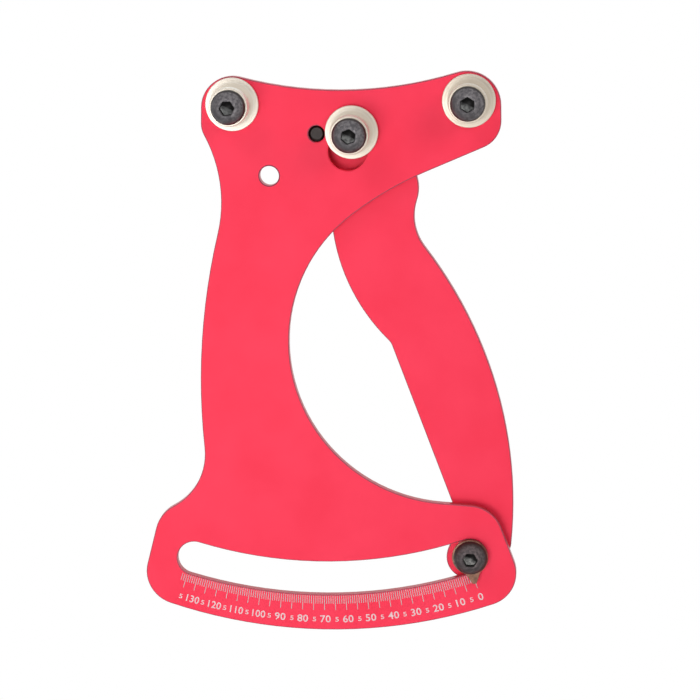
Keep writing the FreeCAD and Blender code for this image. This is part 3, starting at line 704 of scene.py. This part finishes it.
def socketHead(size, seat):
    # From the bottom of the socket out over the dome to the seat, all as loops. Front is -y.
    corner = size["flats"] / 2 / math.cos(math.pi / 6)
    lead = size["socketLead"]
    crown = seat - size["headHeight"]
    floor = crown + size["depth"]
    drill = size["drill"]
    head = size["head"]
    pole = 0.12  # flat at the bottom of the drilled point
    topEdge = 0.12  # from the crown's flat to where the dome starts
    edge = 0.04  # small breaks of the drilled edge and of the seat's edge
    undercut = 0.15  # rounding of the head's rim at the seat
    loops = [("round", pole, floor + size["pointDepth"]), ("round", drill, floor + edge),
             ("round", drill + 0.03, floor), ("hex", corner * 0.995, floor), ("hex", corner, floor - 0.05),
             ("hex", corner, crown + lead), ("hex", corner + lead * 0.6, crown + 0.03),
             ("round", corner + lead + 0.1, crown + 0.003), ("round", size["top"] - topEdge, crown)]
    steps = size["domeSteps"]
    for k in range(steps + 1):
        r, y = domePoint(1 - k / steps, head, size["top"], seat - size["rimHeight"], crown)
        loops.append(("round", r, y))
    loops += [("round", head, seat - undercut), ("round", head - edge, seat - edge),
              ("round", head - undercut, seat)]
    return loops


def makeThread(bm, crest, pitch, depth, start, end):
    # One ridge wound round the shank: a pointed profile spun with a rise.
    sink = 0.05  # into the shank, so that no gap shows
    foot, tip = 0.42, 0.07  # half widths of the ridge, in pitches
    stepsPerTurn = 24
    turns = (end - start) / pitch
    inner = crest - depth - sink
    outline = [(inner, -foot), (crest, -tip), (crest, tip), (inner, foot)]
    corners = [bm.verts.new((r * mm, (start + y * pitch) * mm, 0)) for r, y in outline]
    face = bm.faces.new(corners)
    steps = round(turns * stepsPerTurn)
    rise = (end - start) / steps
    bmesh.ops.spin(bm, geom=[face], cent=(0, 0, 0), axis=(0, 1, 0), dvec=(0, rise * mm, 0),
                   angle=2 * math.pi * turns, steps=steps, use_merge=False)


crestEase = 0.01  # a thread's crest stays this far inside the screw's own radius


def makePostScrew(node, body, turn, material):
    size = postScrew
    lo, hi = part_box(node)
    place = Vector(((lo.x + hi.x) / 2, lo.y, (lo.z + hi.z) / 2))
    seat = size["headHeight"]
    end = (hi.y - lo.y) / mm
    shank = size["shank"]
    plain = shank - size["shankEase"]
    root = shank - size["rootDepth"]
    threadFrom = end - size["threadLength"]
    loops = socketHead(size, seat)
    loops += [("round", shank + size["neck"], seat), ("round", plain, seat + size["neck"]),
              ("round", plain, threadFrom - size["runOut"]), ("round", root, threadFrom),
              ("round", root, end - size["endRise"]), ("round", root - size["endBreak"], end)]
    bm = bmesh.new()
    loftLoops(bm, loops, turn)
    makeThread(bm, shank - crestEase, size["pitch"], size["ridgeDepth"], threadFrom, end - size["threadEnd"])
    bmesh.ops.translate(bm, verts=bm.verts, vec=place)
    piece = finishPiece(bm, node + "_detailed", body, material, [node])
    return latheAttribute(piece, place)


# Body, the hexagon's turn in degrees as it stopped when the screw was tightened, and the material
screwTurns = {"left_post_screw": ("body", 4, blackOxide), "right_post_screw": ("body", 30, blackOxide),
              "middle_post_screw": ("arm", 21, blackOxide), "pointer_screw": ("arm", -1, blackOxideBrown)}
for node, (body, turn, material) in screwTurns.items():
    makePostScrew(node, body, math.radians(turn), material)


def makePivotScrew():
    # Built with its head to the front, then turned round, because its head is at the back.
    size = pivotScrew
    lo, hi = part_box("pivot_screw")
    seat = size["headHeight"]
    end = (hi.y - lo.y) / mm
    shoulderEnd = end - (plateBack - lo.y) / mm
    shank = size["shank"]
    neck = size["neck"]
    shoulderBreak = size["shoulderBreak"]
    thread = size["thread"]
    root = thread - size["rootDepth"]
    tip = thread - size["tipBreak"]
    tipOut, tipDown = size["tipRound"]
    loops = socketHead(size, seat)
    loops += [("round", shank + neck, seat), ("round", shank, seat + neck),
              ("round", shank, shoulderEnd - shoulderBreak), ("round", shank - shoulderBreak, shoulderEnd),
              ("round", root, shoulderEnd), ("round", root, end - size["tipBreak"]),
              ("round", tip + tipOut, end - tipDown), ("round", tip - size["tipInset"], end)]
    bm = bmesh.new()
    loftLoops(bm, loops, 0)
    makeThread(bm, thread - crestEase, size["pitch"], size["ridgeDepth"], shoulderEnd + size["threadStart"],
               end - size["tipBreak"])
    place = Vector((pivotAt.x, hi.y, pivotAt.z))
    flip = Matrix.Translation(place) @ Matrix.Rotation(math.pi, 4, "Z")
    bmesh.ops.transform(bm, matrix=flip, verts=bm.verts)
    piece = finishPiece(bm, "pivot_screw_detailed", "body", blackOxideSmall, ["pivot_screw"])
    return latheAttribute(piece, place)


makePivotScrew()
print("screws made")


# Washers, sleeves and bush: body, outer and inner radius, rounding, material and the record's slot
rings = {
    "left_post_washer": ("body", 5.5, 3.2, 0.22, zincTurned, "zinc_plate"),
    "right_post_washer": ("body", 5.5, 3.2, 0.22, zincTurned, "zinc_plate"),
    "middle_post_washer": ("arm", 5.5, 3.2, 0.22, zincTurned, "zinc_plate"),
    "pointer_washer": ("arm", 5.5, 3.2, 0.22, zincTurned, "zinc_plate"),
    "spring_seat_washer": ("body", 4.6, 3.05, 0.1, zincTurned, "zinc_plate"),
    "spring_retaining_washer": ("body", 4.6, 3.05, 0.1, zincTurned, "zinc_plate"),
    "middle_post_sleeve": ("arm", 5.0, 3.2, 0.15, acetal, "sleeve_acetal"),
    "pointer_sleeve": ("arm", 5.0, 3.2, 0.15, acetal, "sleeve_acetal"),
}
bush = {"bore": 3.05, "tube": 4.0, "rounding": 0.12, "cornerRound": 0.05}


def makeRing(node, body, outer, inner, rounding, material, slotName):
    lo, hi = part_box(node)
    length = (hi.y - lo.y) / mm
    profile = [(inner, 0, rounding), (outer, 0, rounding), (outer, length, rounding),
               (inner, length, rounding)]
    place = Vector(((lo.x + hi.x) / 2, lo.y, (lo.z + hi.z) / 2))
    return turnedPiece(node, body, profile, place, material)


def makeBush():
    lo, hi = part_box("pivot_bush")
    flange = (hi.x - lo.x) / 2 / mm
    flangeThick = (armFront - lo.y) / mm
    length = (hi.y - lo.y) / mm
    bore, tube, rounding = bush["bore"], bush["tube"], bush["rounding"]
    profile = [(bore, 0, rounding), (flange, 0, rounding), (flange, flangeThick, rounding),
               (tube, flangeThick, bush["cornerRound"]), (tube, length, rounding), (bore, length, rounding)]
    place = Vector((pivotAt.x, lo.y, pivotAt.z))
    return turnedPiece("pivot_bush", "arm", profile, place, bronze)


for node, values in rings.items():
    makeRing(node, *values)
makeBush()
print("washers, sleeves and bush turned")


# Pointer
pointer = {"disc": 5.58, "reach": 8.6, "tipHalf": 0.55, "baseHalf": 2.35, "hole": 3.2, "lean": 10.5,
           "aside": 0.17, "asideFade": 6.0, "edgeRound": 0.15, "sharpAngle": 1.2, "segments": 180}


def makePointer():
    # A round blank whose rim is drawn out to a blunt tip, with the hole punched through.
    p = pointer
    lo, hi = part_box("pointer")
    centre = centreOf("pointer_sleeve")
    fromPivot = centre - pivotAt
    down = math.atan2(fromPivot.x, -fromPivot.z) - math.radians(p["lean"])
    thick = hi.y - lo.y
    bm = bmesh.new()
    rim = bmesh.ops.create_circle(bm, segments=p["segments"], radius=p["disc"] * mm)["verts"]
    base = math.sqrt(p["disc"] ** 2 - p["baseHalf"] ** 2)
    for vert in rim:
        # Local -Y is the way to the tip: points between the tip's two flanks move out to them.
        if vert.co.y < 0 and abs(vert.co.x) < p["baseHalf"] * mm:
            across = abs(vert.co.x) / mm
            flank = (p["baseHalf"] - across) / (p["baseHalf"] - p["tipHalf"])
            reach = base + (p["reach"] - base) * min(1, flank)
            vert.co.y = -reach * mm
        # The punched disc sits a little aside of its hole.
        share = min(1, max(0, 1 + vert.co.y / mm / p["asideFade"]))
        vert.co.x -= p["aside"] * share * mm
    hole = bmesh.ops.create_circle(bm, segments=p["segments"], radius=p["hole"] * mm)["verts"]
    edges = list({edge for vert in rim + hole for edge in vert.link_edges})
    bmesh.ops.bridge_loops(bm, edges=edges)
    raised = bmesh.ops.extrude_face_region(bm, geom=bm.faces[:])
    upper = [item for item in raised["geom"] if isinstance(item, bmesh.types.BMVert)]
    bmesh.ops.translate(bm, verts=upper, vec=(0, 0, thick))
    bmesh.ops.recalc_face_normals(bm, faces=bm.faces)
    closed = [edge for edge in bm.edges if len(edge.link_faces) == 2]
    sharp = [edge for edge in closed if edge.calc_face_angle() > p["sharpAngle"]]
    bmesh.ops.bevel(bm, geom=sharp, offset=p["edgeRound"] * mm, offset_type="OFFSET", segments=2,
                    profile=0.5, affect="EDGES", material=-1)
    place = Matrix.Translation((centre.x, hi.y, centre.z)) @ Matrix.Rotation(-down, 4, "Y") @ alongY
    bmesh.ops.transform(bm, matrix=place, verts=bm.verts)
    return finishPiece(bm, "pointer_plate", "arm", brass, ["pointer"])


makePointer()
print("pointer made")


# Return spring: a coil round the pivot screw whose legs push on the left and the middle nut
spring = {"wire": 0.7, "coil": 3.95, "turns": 2, "leftOverhang": 4.0, "rightOverhang": 6.0,
          "stepsPerTurn": 48, "wireSegments": 16, "legGap": 0.02, "nutFlats": 10.0}


def legHeading(start, startRadius, end, endRadius):
    # Heading of the straight run that leaves one circle and meets the next on the same side.
    run = end - start
    ratio = (startRadius - endRadius) / math.hypot(run.x, run.z)
    return math.atan2(run.z, run.x) + math.asin(ratio)


def makeSpring():
    p = spring
    lo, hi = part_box("return_spring")
    leftPost = centreOf("left_post_nut")
    middlePost = centreOf("middle_post_nut")
    onNut = (p["nutFlats"] / 2 + p["wire"] + p["legGap"]) * mm
    coil = p["coil"] * mm
    leftWay = legHeading(leftPost, onNut, pivotAt, coil)
    rightWay = legHeading(pivotAt, coil, middlePost, onNut)
    startY = lo.y + p["wire"] * mm
    endY = hi.y - p["wire"] * mm
    angle = rightWay - leftWay + 2 * math.pi * p["turns"]
    steps = round(p["stepsPerTurn"] * p["turns"])
    bm = bmesh.new()
    # The wire's circle faces the leg's way and sits where the leg meets the coil.
    start = Vector((coil * math.sin(leftWay), startY, -coil * math.cos(leftWay)))
    face = Matrix.Rotation(-leftWay, 4, "Y") @ Matrix.Rotation(math.pi / 2, 4, "Y")
    bmesh.ops.create_circle(bm, segments=p["wireSegments"], radius=p["wire"] * mm,
                            matrix=Matrix.Translation(start) @ face)
    firstEdges = bm.edges[:]
    rise = (endY - startY) / steps
    made = bmesh.ops.spin(bm, geom=firstEdges, cent=(0, 0, 0), axis=(0, 1, 0), dvec=(0, rise, 0),
                          angle=-angle, steps=steps, use_merge=False)
    lastEdges = [item for item in made["geom_last"] if isinstance(item, bmesh.types.BMEdge)]
    leftRun = (leftPost - pivotAt).length
    rightRun = (middlePost - pivotAt).length
    legs = ((firstEdges, leftWay, -(leftRun + p["leftOverhang"] * mm)),
            (lastEdges, rightWay, rightRun + p["rightOverhang"] * mm))
    for edges, way, reach in legs:
        direction = Vector((math.cos(way), 0, math.sin(way)))
        tips, tipEdges = drawOut(bm, edges)
        bmesh.ops.translate(bm, verts=list(tips), vec=direction * reach)
        bmesh.ops.edgeloop_fill(bm, edges=tipEdges)
    bmesh.ops.translate(bm, verts=bm.verts, vec=(pivotAt.x, 0, pivotAt.z))
    piece = finishPiece(bm, "return_spring_wire", None, springSteel, ["return_spring"])
    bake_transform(piece)
    return piece


makeSpring()
print("spring wound")


# Floor, light and camera. The floor and the lamps are in metres.
room = {"floorHalf": 30.0, "floorDrop": 0.3, "floorTone": (0.86, 0.86, 0.86, 1), "floorRoughness": 0.9,
        "worldFill": 0.2, "nearShare": 0.75, "farShare": 1.0, "nearReach": 0.25, "farReach": 0.8}
white = (1, 1, 1, 1)


def seenMask(tree):
    # One for what the camera, a gloss or glass sees, nought for light that falls on something.
    light = addNode(tree, "ShaderNodeLightPath")
    seen = mathNode(tree, "MAXIMUM", light.outputs["Is Camera Ray"], light.outputs["Is Glossy Ray"])
    return mathNode(tree, "MAXIMUM", seen, light.outputs["Is Transmission Ray"])


def makeFloor():
    bm = bmesh.new()
    bmesh.ops.create_grid(bm, x_segments=1, y_segments=1, size=room["floorHalf"])
    bmesh.ops.translate(bm, verts=bm.verts, vec=(0, 0, cadBox[0].z - room["floorDrop"]))
    mesh = bpy.data.meshes.new("floor")
    bm.to_mesh(mesh)
    bm.free()
    floor = bpy.data.objects.new("floor", mesh)
    bpy.context.scene.collection.objects.link(floor)
    material, tree, shader = newMaterial("paleFloor", room["floorRoughness"], specular=0.0)
    shader.inputs["Base Color"].default_value = room["floorTone"]
    glow = addNode(tree, "ShaderNodeEmission", {"Color": white, "Strength": 1.0})
    # White to the eye far off, and mostly white near the tool, where its shadow shows a little.
    flat = {0: addNode(tree, "ShaderNodeTexCoord").outputs["Object"], 1: (1, 1, 0)}
    away = addNode(tree, "ShaderNodeVectorMath", flat, operation="MULTIPLY")
    reach = addNode(tree, "ShaderNodeVectorMath", {0: away.outputs["Vector"]}, operation="LENGTH")
    whiteShare = rangeNode(tree, reach.outputs["Value"], room["nearReach"], room["farReach"],
                           room["nearShare"], room["farShare"])
    share = mathNode(tree, "MULTIPLY", seenMask(tree), whiteShare)
    inputs = {0: share, 1: shader.outputs["BSDF"], 2: glow.outputs["Emission"]}
    mix = addNode(tree, "ShaderNodeMixShader", inputs)
    output = tree.nodes["Material Output"]
    tree.links.new(mix.outputs["Shader"], output.inputs["Surface"])
    mesh.materials.append(material)


def makeWorld():
    world = bpy.data.worlds.new("paleStudio")
    bpy.context.scene.world = world
    world.use_nodes = True
    tree = world.node_tree
    tree.nodes.clear()
    fill = addNode(tree, "ShaderNodeBackground", {"Color": white, "Strength": room["worldFill"]})
    backdrop = addNode(tree, "ShaderNodeBackground", {"Color": white, "Strength": 1.0})
    inputs = {0: seenMask(tree), 1: fill.outputs["Background"], 2: backdrop.outputs["Background"]}
    mix = addNode(tree, "ShaderNodeMixShader", inputs)
    output = addNode(tree, "ShaderNodeOutputWorld")
    tree.links.new(mix.outputs["Shader"], output.inputs["Surface"])


# The camera looks at a point of the plate's front, so many mm to the right of the pivot and below it.
view = {"azimuth": 4.8, "elevation": 11.5, "distance": 0.7709, "right": 10.22, "down": 66.65,
        "focalPixels": 2503.0, "imagePixels": 700.0, "sensor": 36.0, "farthest": 100}
target = Vector((pivotAt.x + view["right"] * mm, plateFront, pivotAt.z - view["down"] * mm))


def awayFromTarget(azimuth, elevation, distance):
    # Azimuth 0 is in front, positive to the right; elevation is upward.
    side = math.radians(azimuth)
    rise = math.radians(elevation)
    way = Vector((math.sin(side) * math.cos(rise), -math.cos(side) * math.cos(rise), math.sin(rise)))
    return way * distance


# Name, azimuth, elevation, distance in metres, watts, width in metres, shows in gloss
lamps = (
    ("keyLamp", -18, -12, 1.0, 4.55, 0.6, True),
    ("highLamp", -35, 45, 1.2, 2.2, 0.5, False),
    ("topLamp", 48, 30, 1.2, 3.6, 0.5, False),
    ("backLamp", 200, 30, 1.5, 14.0, 0.9, False),
    ("backSideLamp", 130, 5, 1.5, 5.0, 0.9, False),
)


def makeLamp(name, azimuth, elevation, distance, watts, width, inGloss):
    lamp = bpy.data.lights.new(name, "AREA")
    lamp.shape = "DISK"
    lamp.energy = watts
    lamp.size = width
    item = bpy.data.objects.new(name, lamp)
    bpy.context.scene.collection.objects.link(item)
    way = awayFromTarget(azimuth, elevation, distance)
    item.location = target + way
    item.rotation_euler = (-way).to_track_quat("-Z", "Y").to_euler()
    item.visible_glossy = inGloss


def makeCamera():
    way = awayFromTarget(view["azimuth"], view["elevation"], view["distance"])
    data = bpy.data.cameras.new("photoCamera")
    data.sensor_width = view["sensor"]
    data.lens = view["focalPixels"] * view["sensor"] / view["imagePixels"]
    data.clip_end = view["farthest"]
    camera = bpy.data.objects.new("photoCamera", data)
    bpy.context.scene.collection.objects.link(camera)
    camera.location = target + way
    camera.rotation_euler = (-way).to_track_quat("-Z", "Y").to_euler()
    bpy.context.scene.camera = camera


makeFloor()
makeWorld()
for values in lamps:
    makeLamp(*values)
makeCamera()
bpy.context.scene.view_settings.view_transform = "Standard"
print("floor, lamps and camera placed")
